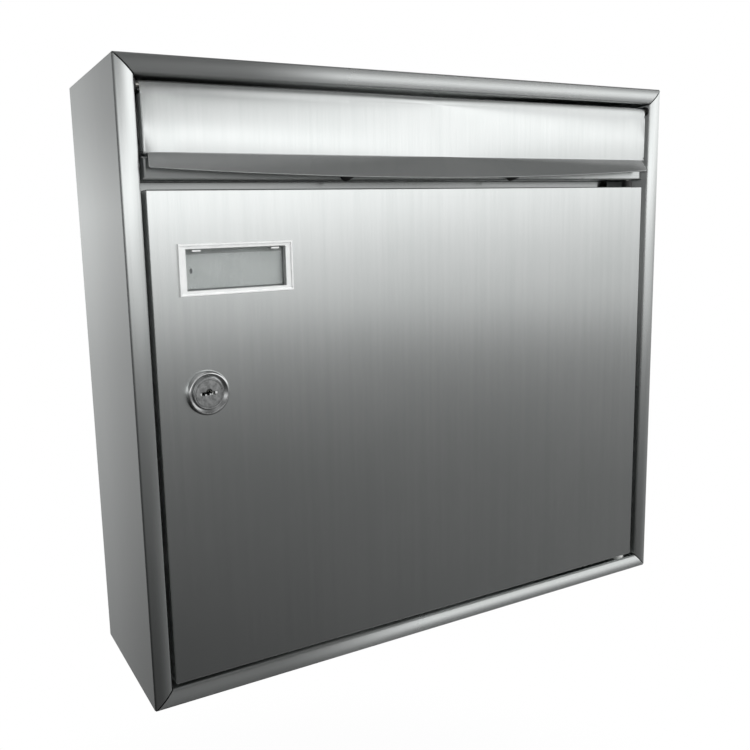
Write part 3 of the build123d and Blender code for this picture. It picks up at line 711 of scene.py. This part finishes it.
def crossRail():
    look = railLook
    low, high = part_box("cross_rail")
    half = openHalf.x - look["endGap"]
    stopFront = frontY + casingLook["returnDepth"]
    shape = bmesh.new()
    points = [(-half, stopFront, low.z), (-half, stopFront, railLevel), (-half, low.y, railLevel),
              (-half, low.y, high.z), (-half, high.y, high.z)]
    chain(shape, points)
    for place, bend in zip(points[1:4], ("fold", "bend", "bend")):
        roundCorner(shape, place, look[bend], look["bendSteps"])
    pull(shape, shape.edges, (2 * half, 0, 0))
    folds = []
    for sign in (-1, 1):
        ends = [edge for edge in shape.edges if edge.is_boundary
                and all(abs(vert.co.x - sign * half) < tiny for vert in edge.verts)]
        hang = [edge for edge in ends if max(vert.co.z for vert in edge.verts) < railLevel - 0.2 * mm]
        pull(shape, hang, (sign * (high.x - half), 0, 0))
        face = [edge for edge in ends if all(vert.co.y < low.y + tiny for vert in edge.verts)]
        pull(shape, face, (0, look["endFlange"], 0))
        folds += face
    roundEdges(shape, folds, look["endFold"], look["endFoldSteps"])
    thicken(shape, look["sheet"])
    newPiece("crossRail", shape, "steelRail", "casing", ["cross_rail"])


crossRail()
print("cross rail made")


flapLook = {
    "sheet": 0.8 * mm,
    "crestTilt": 30.0,        # the face leaves the curl leaning back this far
    "crestReach": 1.6 * mm,
    "upperTilt": 1.5,
    "lowerTilt": -1.0,
    "curlEnd": 260,
    "curlSteps": 36,
    "faceCuts": 40,
    "lipLean": 30.0,
    "lipDropEnd": 7.3 * mm,
    "lipDropMiddle": 12.2 * mm,
    "lipInset": 2.1 * mm,
    "lipFlare": 0.15,         # the lip's ends widen this much on their way down
    "lipCorners": (0.9 * mm, 1.7 * mm),    # left and right
    "lipStart": 0.9 * mm,     # below the bend
    "lipRim": 0.28 * mm,
    "rimAngle": 50,           # edges sharper than this are rounded along the lip
    "steps": 6,
    "bend": 1.6 * mm,
    "bendLevel": 1.4 * mm,    # bend above the rail
    "endBend": 1.0 * mm,
    "endRoll": 18.0 * mm,     # the face falls back a little towards its ends
    "endFall": 0.8 * mm,
    "endFlange": 6.5 * mm,
    # the flanges keep clear of the bend below and the curl above, and start within this depth
    "flangeLow": 0.8 * mm,
    "flangeHigh": 0.6 * mm,
    "flangeIn": 1.8 * mm,
    "lengthCuts": 116,
}


def letterFlap():
    look = flapLook
    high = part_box("flap_panel")[1]
    rod = middle("flap_rod")
    outer = high.z - rod.z      # outer radius of the curl
    faceY = rod.y - outer
    half = high.x
    lean = math.radians(look["lipLean"])
    shape = bmesh.new()
    end, crest = math.radians(look["curlEnd"]), math.radians(look["crestTilt"])
    start = shape.verts.new((-half, rod.y - outer * math.cos(end), rod.z + outer * math.sin(end)))
    spun = bmesh.ops.spin(shape, geom=[start], cent=(-half, rod.y, rod.z), axis=(1, 0, 0), dvec=(0, 0, 0),
                          angle=end - crest, steps=look["curlSteps"], use_merge=False, use_duplicate=False)
    last = next(item for item in spun["geom_last"] if isinstance(item, bmesh.types.BMVert))
    top = last.co.copy()
    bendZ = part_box("cross_rail")[1].z + look["bendLevel"]
    corner = shape.verts.new((-half, top.y, bendZ))
    faceEdge = shape.edges.new((last, corner))
    bmesh.ops.subdivide_edges(shape, edges=[faceEdge], cuts=look["faceCuts"])
    # the face rolls off the curl and then runs almost upright down to the bend
    depth, level = top.y, top.z
    fall = [item for item in shape.verts if item.co.z < top.z - tiny and item.co.y < top.y + tiny]
    for vert in sorted(fall, key=lambda item: -item.co.z):
        fallen = top.z - (level + vert.co.z) / 2
        tilt = (look["crestTilt"] * math.exp(-fallen / look["crestReach"]) + look["upperTilt"]
                + (look["lowerTilt"] - look["upperTilt"]) * fallen / (top.z - bendZ))
        depth -= (level - vert.co.z) * math.tan(math.radians(tilt))
        level = vert.co.z
        vert.co.y = depth
    bend = Vector((-half, depth, bendZ))
    drop = look["lipDropMiddle"]
    corner = min(shape.verts, key=lambda item: (item.co - bend).length)
    tip = shape.verts.new(bend - Vector((0, drop * math.tan(lean), drop)))
    shape.edges.new((corner, tip))
    roundCorner(shape, bend, look["bend"] * math.tan(lean / 2), look["steps"])
    pull(shape, shape.edges, (2 * half, 0, 0), look["lengthCuts"])
    for vert in shape.verts:
        vert.co.y += look["endFall"] * max(0, (abs(vert.co.x) - half) / look["endRoll"] + 1) ** 2

    # the lip has a bowed lower edge and is set in at both ends
    lipHalf = half - look["lipInset"]
    for vert in shape.verts:
        if vert.co.z < bend.z - drop + 0.1 * mm:
            across = vert.co.x / lipHalf
            fall = look["lipDropMiddle"] + (look["lipDropEnd"] - look["lipDropMiddle"]) * across * across
            vert.co.y += (bend.z - fall - vert.co.z) * math.tan(lean)
            vert.co.z = bend.z - fall
    for sign in (-1, 1):
        faces = [face for face in shape.faces if face.calc_center_median().z < bend.z - look["lipStart"]
                 and face.calc_center_median().y < faceY]
        geom = list({item for face in faces for item in (*face.verts, *face.edges, face)})
        cutOff(shape, (sign * lipHalf, 0, bend.z), (sign, 0, look["lipFlare"]), geom, fill=False)
    for sign in (-1, 1):
        place = min((vert.co.copy() for vert in shape.verts if vert.is_boundary and sign * vert.co.x > 0),
                    key=lambda spot: spot.z - 2 * sign * spot.x)
        roundCorner(shape, place, look["lipCorners"][sign > 0], look["steps"])

    # flanges turned back at both ends of the face
    lowest, highest = bend.z + look["flangeLow"], rod.z - outer - look["flangeHigh"]
    folds = []
    for sign in (-1, 1):
        ends = [edge for edge in shape.edges if edge.is_boundary
                and all(abs(vert.co.x - sign * half) < 0.01 * mm and vert.co.y < faceY + look["flangeIn"]
                        and lowest < vert.co.z < highest for vert in edge.verts)]
        found = bmesh.ops.extrude_edge_only(shape, edges=ends)["geom"]
        for vert in (item for item in found if isinstance(item, bmesh.types.BMVert)):
            vert.co.y = faceY + look["endFlange"]
        folds += ends
    roundEdges(shape, folds, look["endBend"], 8)
    thicken(shape, look["sheet"])
    rim = [edge for edge in shape.edges if edge.calc_face_angle(0) > math.radians(look["rimAngle"])
           and max(vert.co.z for vert in edge.verts) < bend.z - look["lipStart"]
           and max(vert.co.y for vert in edge.verts) < bend.y + look["endFall"]]
    roundEdges(shape, rim, look["lipRim"], 3)
    newPiece("letterFlap", shape, "steelUpright", "flap", ["flap_panel"])


letterFlap()
print("letter flap made")


doorLook = {
    "sheet": 1.0 * mm,
    "lip": 7.0 * mm,
    "corner": 0.7 * mm,
    "edge": 0.9 * mm,
    "steps": 6,
    "windowGap": 0.2 * mm,
    "lockHole": 9.1 * mm,
    "holeSteps": 48,
}


def doorTray():
    look = doorLook
    low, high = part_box("door_panel")
    shape = bmesh.new()
    block(shape, low, high)
    # the lip comes before the corners, which are far tighter than it is wide
    rear = facing(shape, (0, 1, 0))
    bmesh.ops.inset_region(shape, faces=[rear], thickness=look["lip"], use_even_offset=True)
    bmesh.ops.delete(shape, geom=[rear], context="FACES_ONLY")
    upright = [edge for edge in shape.edges if abs(edge.verts[0].co.y - edge.verts[1].co.y) > 1 * mm]
    roundEdges(shape, upright, look["corner"], look["steps"])
    roundEdges(shape, facing(shape, (0, -1, 0)).edges, look["edge"], look["steps"])
    # the front is filled again round a window for the name plate and a hole for the lock
    front = facing(shape, (0, -1, 0))
    outline = list(front.edges)
    bmesh.ops.delete(shape, geom=[front], context="FACES_ONLY")
    half = Vector([plateLook[side] / 2 + look["windowGap"] for side in ("bodyWidth", "bodyHeight")])
    window = bmesh.ops.create_grid(shape, x_segments=1, y_segments=1, size=1.0, matrix=Matrix.Translation(
        (plateMiddle.x, low.y, plateMiddle.z)) @ Matrix.Rotation(math.radians(90), 4, "X")
        @ Matrix.Diagonal((*half, 1, 1)))["verts"]
    bmesh.ops.delete(shape, geom=list(window[0].link_faces), context="FACES_ONLY")
    lock = middle("lock_body")
    ring = bmesh.ops.create_circle(shape, cap_ends=False, segments=look["holeSteps"], radius=look["lockHole"],
                                   matrix=Matrix.Translation((lock.x, low.y, lock.z))
                                   @ Matrix.Rotation(math.radians(90), 4, "X"))["verts"]
    outline += list({edge for vert in (*window, *ring) for edge in vert.link_edges})
    bmesh.ops.triangle_fill(shape, use_beauty=True, edges=outline, normal=(0, -1, 0))
    thicken(shape, look["sheet"])
    newPiece("doorTray", shape, "steelUpright", "door", ["door_panel"])


doorTray()
print("door made")


def nameCover():
    look = plateLook
    low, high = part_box("name_cover")
    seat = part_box("door_panel")[0].y
    flangeFront = low.y + look["ridge"]
    shape = bmesh.new()
    block(shape, (low.x, flangeFront, low.z), (high.x, seat, high.z))
    half = Vector(((high.x - low.x) / 2, (high.z - low.z) / 2))
    front = facing(shape, (0, -1, 0))
    inset = 0
    # ridge round the outside, flat border, then down to the pane
    slope, crest = look["ridgeSlope"], look["ridgeTop"]
    for step, y in ((slope, low.y), (crest, low.y), (slope, flangeFront)):
        inset += step
        stepTo(shape, front, plateMiddle, half - Vector((inset, inset)), y)
    recess = Vector((look["recessWidth"] / 2, look["recessHeight"] / 2))
    soft = Vector((look["edge"], look["edge"]))
    stepTo(shape, front, plateMiddle, recess + soft, flangeFront)
    stepTo(shape, front, plateMiddle, recess, flangeFront + look["edge"])
    stepTo(shape, front, plateMiddle, recess, seat + look["paneDepth"])
    rear = facing(shape, (0, 1, 0))
    body = Vector((look["bodyWidth"] / 2, look["bodyHeight"] / 2))
    stepTo(shape, rear, plateMiddle, body, seat)
    stepTo(shape, rear, plateMiddle, body, high.y)
    newPiece("nameCover", shape, "clearPlastic", "door", ["name_cover"], crease=20)
    # two tabs that hold the card's upper edge
    tabs = bmesh.new()
    for sign in (-1, 1):
        x = plateMiddle.x + sign * look["tabSpacing"] / 2
        top = plateMiddle.z + recess.y - look["tabDrop"]
        block(tabs, (x - look["tabLength"] / 2, flangeFront + look["tabBack"], top - look["tabHeight"]),
              (x + look["tabLength"] / 2, seat + look["paneDepth"] - look["tabGap"], top))
    newPiece("coverTabs", tabs, "tabPlastic", "door")


nameCover()
print("name plate made")


lockLook = {
    "steps": 64,
    "play": 0.05 * mm,
    # radius and depth behind the front, from the ring beside the plug to the rim's crest
    "dish": [(7.8, 0.3), (7.9, 0.2), (8.1, 0.2), (8.2, 0.35), (8.3, 1.14), (8.5, 1.2), (10.0, 0.44),
             (10.15, 0.34), (10.25, 0.1), (10.35, 0.02)],
    "crest": 10.45 * mm,
    "rimDepth": 2.2 * mm,
    "rimSteps": 9,
    "barrel": 9.0 * mm,
    "core": 6.0 * mm,
    "coreHead": 1.6 * mm,
    "headPlay": 0.1 * mm,     # behind the core's head
    "chamfer": 0.2 * mm,
    "tail": 7.0 * mm,
    "tailSink": 0.5 * mm,     # the square tail starts this far inside the core
    "keyway": [(-5.2, -1.2), (5.2, -1.2), (5.2, 1.0), (1.8, 1.0), (1.8, 2.6), (-1.8, 2.6), (-1.8, 1.0),
               (-5.2, 1.0)],
    "notchRound": 1.45 * mm,
    "notchSteps": 6,
    "guide": 0.09 * mm,       # depth of the shallow guide round the keyway
    "guideScale": (0.92, 0.8),
    # wards in the keyway: left, right, low and high edge, each front tipped up a little
    "wards": [(-4.75, -4.1, -0.9, 0.5), (-2.2, -1.3, -1.0, -0.35), (0.3, 1.2, -1.0, -0.1),
              (1.6, 2.1, -1.0, 0.0), (3.3, 4.6, -0.5, 0.7)],
    "wardDepths": (0.25, 4.0),
    "wardTip": 8.0,
    "keyDepth": 15.0 * mm,
    "ring": 0.5 * mm,
}
lockMiddle = middle("lock_body")
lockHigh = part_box("lock_body")[1].y
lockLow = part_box("lock_body")[0]
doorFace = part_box("door_panel")[0].y
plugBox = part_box("lock_core")
plugRadius = (plugBox[1].x - plugBox[0].x) / 2


def lockHead():
    # chrome rosette: a thin ring round the plug, a dish and a rounded rim
    look = lockLook
    outer = lockMiddle.x - lockLow.x
    inner = plugRadius + look["play"]
    top = lockLow.y
    bore = look["core"] + look["play"]
    step = plugBox[0].y + look["coreHead"] + look["headPlay"]
    outline = [(bore, lockHigh), (bore, step), (inner, step), (inner, top + look["dish"][0][1] * mm)]
    outline += [(r * mm, top + d * mm) for r, d in look["dish"]]
    for index in range(look["rimSteps"]):
        turn = math.radians(90 * index / (look["rimSteps"] - 1))
        outline.append((look["crest"] + (outer - look["crest"]) * math.sin(turn),
                        top + look["rimDepth"] * (1 - math.cos(turn))))
    outline += [(outer, doorFace), (look["barrel"], doorFace), (look["barrel"], lockHigh), (bore, lockHigh)]
    shape = turned(outline, (lockMiddle.x, 0, lockMiddle.z), look["steps"])
    newPiece("lockHead", shape, "lockChrome", "door", ["lock_body"], crease=30)


def lockPlug():
    look = lockLook
    low, high = plugBox
    level = low.y + look["chamfer"]
    tailStart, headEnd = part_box("cam")[0].y, low.y + look["coreHead"]
    ringEnd = plugRadius - look["ring"]
    outline = [(0, tailStart), (look["core"], tailStart), (look["core"], headEnd), (plugRadius, headEnd),
               (plugRadius, level), (plugRadius - look["chamfer"], low.y),
               (ringEnd, low.y), (ringEnd - look["chamfer"], level)]
    shape = turned(outline, (lockMiddle.x, 0, lockMiddle.z), look["steps"])
    rim = [edge for edge in shape.edges if edge.is_boundary]
    known = set(shape.edges)
    at = Vector((lockMiddle.x, level, lockMiddle.z))
    verts = chain(shape, [at + Vector((x, 0, z)) * mm for x, z in look["keyway"]])
    shape.edges.new((verts[-1], verts[0]))
    for x, z in look["keyway"][4:6]:
        roundCorner(shape, at + Vector((x, 0, z)) * mm, look["notchRound"], look["notchSteps"])
    outline = [edge for edge in shape.edges if edge not in known]
    bmesh.ops.triangle_fill(shape, use_beauty=True, edges=rim + outline, normal=(0, -1, 0))
    # a shallow guide leads into the keyway itself
    inner = pull(shape, outline, (0, look["guide"], 0))
    ring = list({vert for edge in inner for vert in edge.verts})
    bmesh.ops.scale(shape, verts=ring, vec=(look["guideScale"][0], 1, look["guideScale"][1]),
                    space=Matrix.Translation(-at))
    bmesh.ops.holes_fill(shape, edges=pull(shape, inner, (0, look["keyDepth"], 0)), sides=0)
    half = look["tail"] / 2
    block(shape, (lockMiddle.x - half, tailStart - look["tailSink"], lockMiddle.z - half),
          (lockMiddle.x + half, high.y, lockMiddle.z + half))
    front, rear = look["wardDepths"]
    for left, right, bottom, top in look["wards"]:
        ward = block(shape, at + Vector((left, front, bottom)) * mm, at + Vector((right, rear, top)) * mm)
        for vert in ward:
            if vert.co.y < at.y + 1 * mm and vert.co.z < at.z + (bottom + top) / 2 * mm:
                vert.co.y -= (top - bottom) * mm * math.tan(math.radians(look["wardTip"]))
    newPiece("lockPlug", shape, "lockFace", "lock_core", ["lock_core"], crease=20)


lockHead()
lockPlug()
print("lock made")


carried = {
    "rail_rivets": "steelRail",
    "flap_buffers": "blackRubber", "door_buffers": "blackRubber",
    "flap_bush_left": "darkNylon", "flap_bush_right": "darkNylon",
    "hinge_pin_upper": "zincPlate", "hinge_pin_lower": "zincPlate",
    "flap_rod": "zincPlate", "rod_caps": "darkNylon",
    "hinge_bush_upper": "darkNylon", "hinge_bush_lower": "whiteNylon",
    "name_card": "cardStock", "name_holder": "greyPlastic",
    "lock_washer": "zincPlate", "lock_nut": "zincPlate",
    "wafers": "nickelPlate", "wafer_springs": "zincPlate",
    "cam": "zincPlate", "cam_washer": "zincPlate", "cam_screw": "zincPlate",
}
for node, finish in carried.items():
    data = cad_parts[node].data
    data.materials.clear()
    data.materials.append(finishes[finish])
print("finishes put on", len(carried), "CAD nodes")


roomLook = {
    # how bright the room is at each height in degrees, one row per bearing; the camera sees plain white
    "left": [(-90, 0.12), (-55, 0.1), (-30, 0.055), (-26, 0.075), (-20, 0.115), (-16, 0.135), (-13, 0.19),
             (-11, 0.25), (-9, 0.33), (-7.7, 0.43), (-6.5, 0.52), (-5.6, 0.66), (-4, 0.72), (-2, 0.85),
             (0.7, 1.12), (2.5, 1.55), (5, 1.4), (7, 1.15), (10, 1.06), (12, 0.94), (14, 0.76), (17, 0.4),
             (24, 0.17), (40, 0.2), (60, 0.2), (76, 0.2), (84, 0.8), (90, 1.0)],
    "right": [(-90, 0.12), (-55, 0.12), (-32, 0.09), (-24, 0.125), (-17, 0.15), (-12, 0.2), (-9.6, 0.24),
              (-8.2, 0.28), (-6.8, 0.4), (-6, 0.5), (-5.3, 0.6), (-4, 0.68), (-1, 0.78), (1, 0.98),
              (3, 1.15), (8, 1.36), (20, 1.38), (24, 0.95), (29, 0.4), (34, 0.19), (60, 0.17), (76, 0.2),
              (84, 0.8), (90, 1.0)],
    "side": [(-90, 0.12), (-30, 0.25), (-13, 0.28), (-8, 0.33), (-3, 0.42), (1, 0.52), (5, 1.0), (12, 1.15),
             (20, 0.8), (28, 0.3), (34, 0.14), (60, 0.13), (76, 0.2), (84, 0.8), (90, 1.0)],
    "far": [(-90, 0.12), (-40, 0.25), (-24, 0.38), (-9, 0.34), (-4, 0.4), (-1, 0.55), (2, 0.95), (8, 1.1),
            (20, 0.8), (30, 0.3), (36, 0.12), (90, 0.15)],
    "rear": [(-90, 0.14), (-35, 0.28), (-27, 0.38), (-20, 0.51), (-8, 0.72), (-2, 0.96), (2, 1.1), (8, 0.74),
             (14, 0.6), (25, 0.9), (50, 1.0), (65, 0.6), (90, 0.2)],
    "near": [(-90, 0.12), (-55, 0.1), (-30, 0.05), (-20, 0.1), (-13, 0.16), (-9, 0.28), (-7, 0.4), (-4, 0.66),
             (-1, 0.9), (1, 1.2), (3, 1.4), (5, 1.15), (7, 0.9), (9, 0.62), (11, 0.42), (14, 0.26), (24, 0.2),
             (40, 0.5), (60, 0.5), (76, 0.3), (84, 0.8), (90, 1.0)],
    "fold": [(-90, 0.05), (-30, 0.03), (-10, 0.08), (0, 0.16), (30, 0.16), (60, 0.2), (90, 0.5)],
    "full": 1.6,
    # where one bearing gives way to the next, in degrees
    "turns": [("right", 20, 29), ("side", 54, 66), ("far", 88, 100), ("rear", 118, 138)],
    "leftTurns": [("near", -18, 4), ("fold", 40, 62), ("rear", 132, 146)],
}


def buildRoom():
    look = roomLook
    world = bpy.data.worlds.new("studio")
    world.use_nodes = True
    scene.world = world
    maker = Maker(world.node_tree)
    x, y, z = maker.split(maker.node("ShaderNodeTexCoord", {}, {}, 0))
    height = z.calc("ARCSINE") * (1 / math.pi) + 0.5
    bearing = x.calc("ARCTAN2", -y) * (180 / math.pi)      # nought straight ahead of the door

    def levels(name):
        stops = [((place + 90) / 180, level / look["full"]) for place, level in look[name]]
        return maker.node("ShaderNodeValToRGB", {"stops": stops}, {0: height})

    seen = levels("left")
    for name, first, second in look["turns"]:
        seen = maker.blend(maker.smooth(bearing, first, second), seen, levels(name))
    for name, first, second in look["leftTurns"]:
        seen = maker.blend(maker.smooth(-bearing, first, second), seen, levels(name))
    path = maker.node("ShaderNodeLightPath").socket.node
    seenBy = [Wire(maker, path.outputs[kind]) for kind in ("Is Camera Ray", "Is Transmission Ray")]
    room = maker.node("ShaderNodeBackground", {}, {"Color": seen, "Strength": look["full"]})
    white = maker.node("ShaderNodeBackground", {}, {"Color": tint(1.0), "Strength": 1.0})
    plain = seenBy[0].calc("MAXIMUM", seenBy[1])
    shown = maker.node("ShaderNodeMixShader", {}, {0: plain, 1: room, 2: white})
    maker.node("ShaderNodeOutputWorld", {}, {"Surface": shown})


lampLook = {
    "key": {"place": (1.1, -1.6, 1.3), "size": (1.2, 1.2), "power": 36},
    "overhead": {"place": (0, -0.3, 1.6), "size": (1.6, 1.2), "power": 18},
}


def softLamp(name, place, size, power):
    # aimed at the middle of the object, and not mirrored in it
    lamp = bpy.data.lights.new(name, "AREA")
    lamp.shape = "RECTANGLE"
    lamp.size, lamp.size_y = size
    lamp.energy = power
    holder = bpy.data.objects.new(name, lamp)
    scene.collection.objects.link(holder)
    holder.location = place
    holder.rotation_euler = (Vector() - Vector(place)).to_track_quat("-Z", "Y").to_euler()
    holder.visible_camera = False
    holder.visible_glossy = False


floorLook = {
    "level": -0.75,
    "size": 8.0,
    "near": 0.45,     # inside this distance the floor shows some of its own paint and the shadow
    "far": 0.85,
    "pale": 0.85,     # how much of it is plain white there
    "colours": (0.82, 0.86),
    "cloud": 0.4,
}


def layFloor():
    look = floorLook
    shape = bmesh.new()
    bmesh.ops.create_grid(shape, x_segments=1, y_segments=1, size=look["size"],
                          matrix=Matrix.Translation((0, 0, look["level"])))
    mesh = bpy.data.meshes.new("floor")
    shape.to_mesh(mesh)
    shape.free()
    floor = bpy.data.objects.new("floor", mesh)
    scene.collection.objects.link(floor)

    def paint(maker, place):
        x, y, z = maker.split(place)
        away = (x * x + y * y) ** 0.5
        cloud = maker.noise(place, [look["cloud"]] * 3, 3.0, 0.5)
        path = maker.node("ShaderNodeLightPath").socket.node
        share = Wire(maker, path.outputs["Is Camera Ray"]) * (
            look["pale"] + maker.smooth(away, look["near"], look["far"]) * (1 - look["pale"]))
        coat = maker.node("ShaderNodeBsdfPrincipled", {}, {
            "Base Color": maker.blend(cloud, *look["colours"]), "Roughness": 0.8})
        pale = maker.node("ShaderNodeEmission", {}, {"Color": tint(1.0), "Strength": 1.0})
        return maker.node("ShaderNodeMixShader", {}, {0: share, 1: coat, 2: pale})

    mesh.materials.append(newMaterial("paleFloor", paint))
    floor.visible_glossy = False


cameraLook = {
    "place": (-0.28698775, -0.48812288, 0.08022762),
    "turn": (0.145630106, -0.466458688, -0.0697573172),    # its axis, as long as its angle in radians
    "lens": 38.5315,
    "sensor": 36,
    "shift": (0.1007, -0.0184),
}


def placeCamera():
    look = cameraLook
    data = bpy.data.cameras.new("camera")
    data.lens = look["lens"]
    data.sensor_width = look["sensor"]
    data.shift_x, data.shift_y = look["shift"]
    data.clip_start = 0.01
    camera = bpy.data.objects.new("camera", data)
    scene.collection.objects.link(camera)
    turn = Vector(look["turn"])
    level = Matrix(((1, 0, 0), (0, 0, -1), (0, 1, 0)))
    right, down, ahead = Matrix.Rotation(turn.length, 3, turn.normalized()) @ level
    spin = Matrix((right, -down, -ahead)).transposed().to_quaternion()
    camera.matrix_world = Matrix.LocRotScale(Vector(look["place"]), spin, None)
    scene.camera = camera


buildRoom()
layFloor()
for name, look in lampLook.items():
    softLamp(name, **look)
placeCamera()
scene.view_settings.view_transform = "Standard"
print("room, lamps and camera set")
